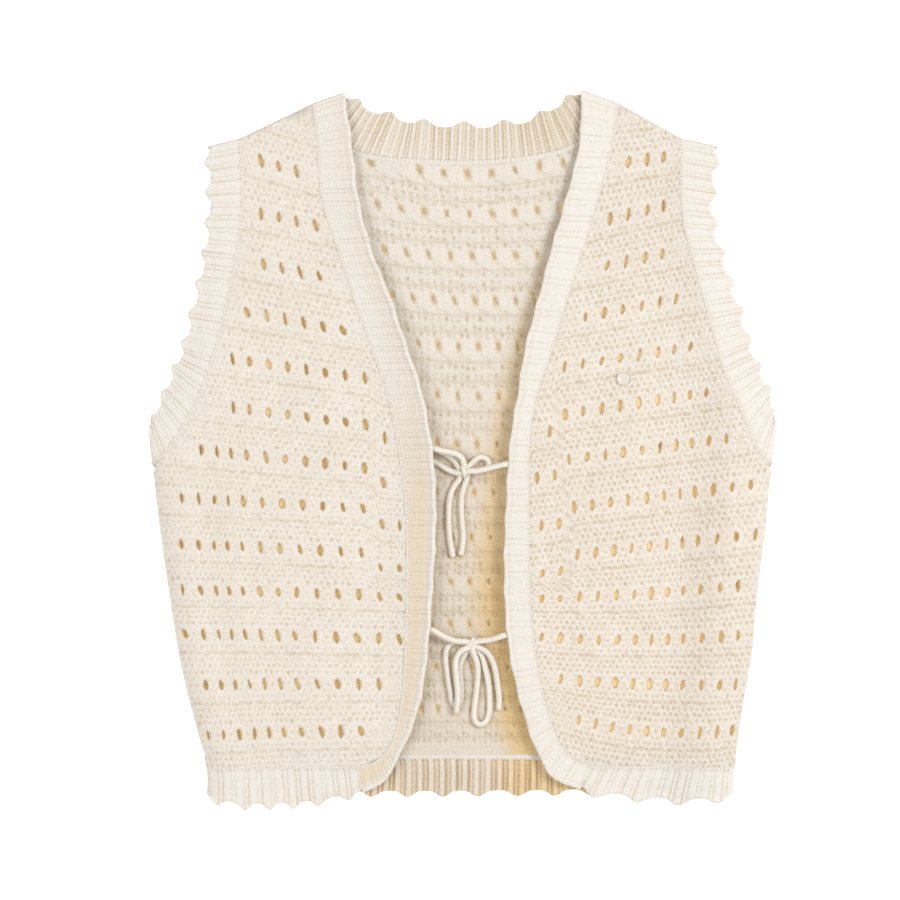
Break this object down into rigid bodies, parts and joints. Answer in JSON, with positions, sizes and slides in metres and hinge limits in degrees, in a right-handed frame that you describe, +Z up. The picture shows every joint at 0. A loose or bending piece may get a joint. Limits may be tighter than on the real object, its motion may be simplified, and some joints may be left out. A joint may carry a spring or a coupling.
{
  "type": "sleeveless knitted vest with open front",
  "caption": "Sleeveless openwork knitted vest laid flat on its back, with ribbed bands, scalloped edges, and an open front tied with cord bows.",
  "frame": {"origin": "centre of the bounding box in plan, at the underside of the back panel, on the surface that the vest lies on", "axes": "+Z up off the surface, +Y from the hem towards the neck, +X across the vest towards the wearer's left side"},
  "size_m": [0.4649, 0.5309, 0.0261],
  "materials": {
    "knit": "matt cream cotton, openwork knit",
    "rib": "matt cream cotton, ribbed knit",
    "cord": "matt off-white knitted tube cord",
    "pearl": "plain pearly resin"
  },
  "bodies": {
    "root": {"back_panel": "knit", "front_right": "knit", "front_left": "knit", "neck_rib_back": "rib", "hem_rib_back": "rib", "band_front_right": "rib", "band_front_left": "rib", "armhole_rib_front_right": "rib", "armhole_rib_front_left": "rib", "armhole_rib_back_right": "rib", "armhole_rib_back_left": "rib", "hem_rib_front_right": "rib", "hem_rib_front_left": "rib", "tie_upper_right": "cord", "loop_upper_right": "cord", "tail_upper_right": "cord", "tie_upper_left": "cord", "loop_upper_left": "cord", "tail_upper_left": "cord", "tie_lower_right": "cord", "loop_lower_right": "cord", "tail_lower_right": "cord", "tie_lower_left": "cord", "loop_lower_left": "cord", "tail_lower_left": "cord", "knot_upper": "cord", "knot_lower": "cord", "disc": "pearl"}
  },
  "joints": []
}
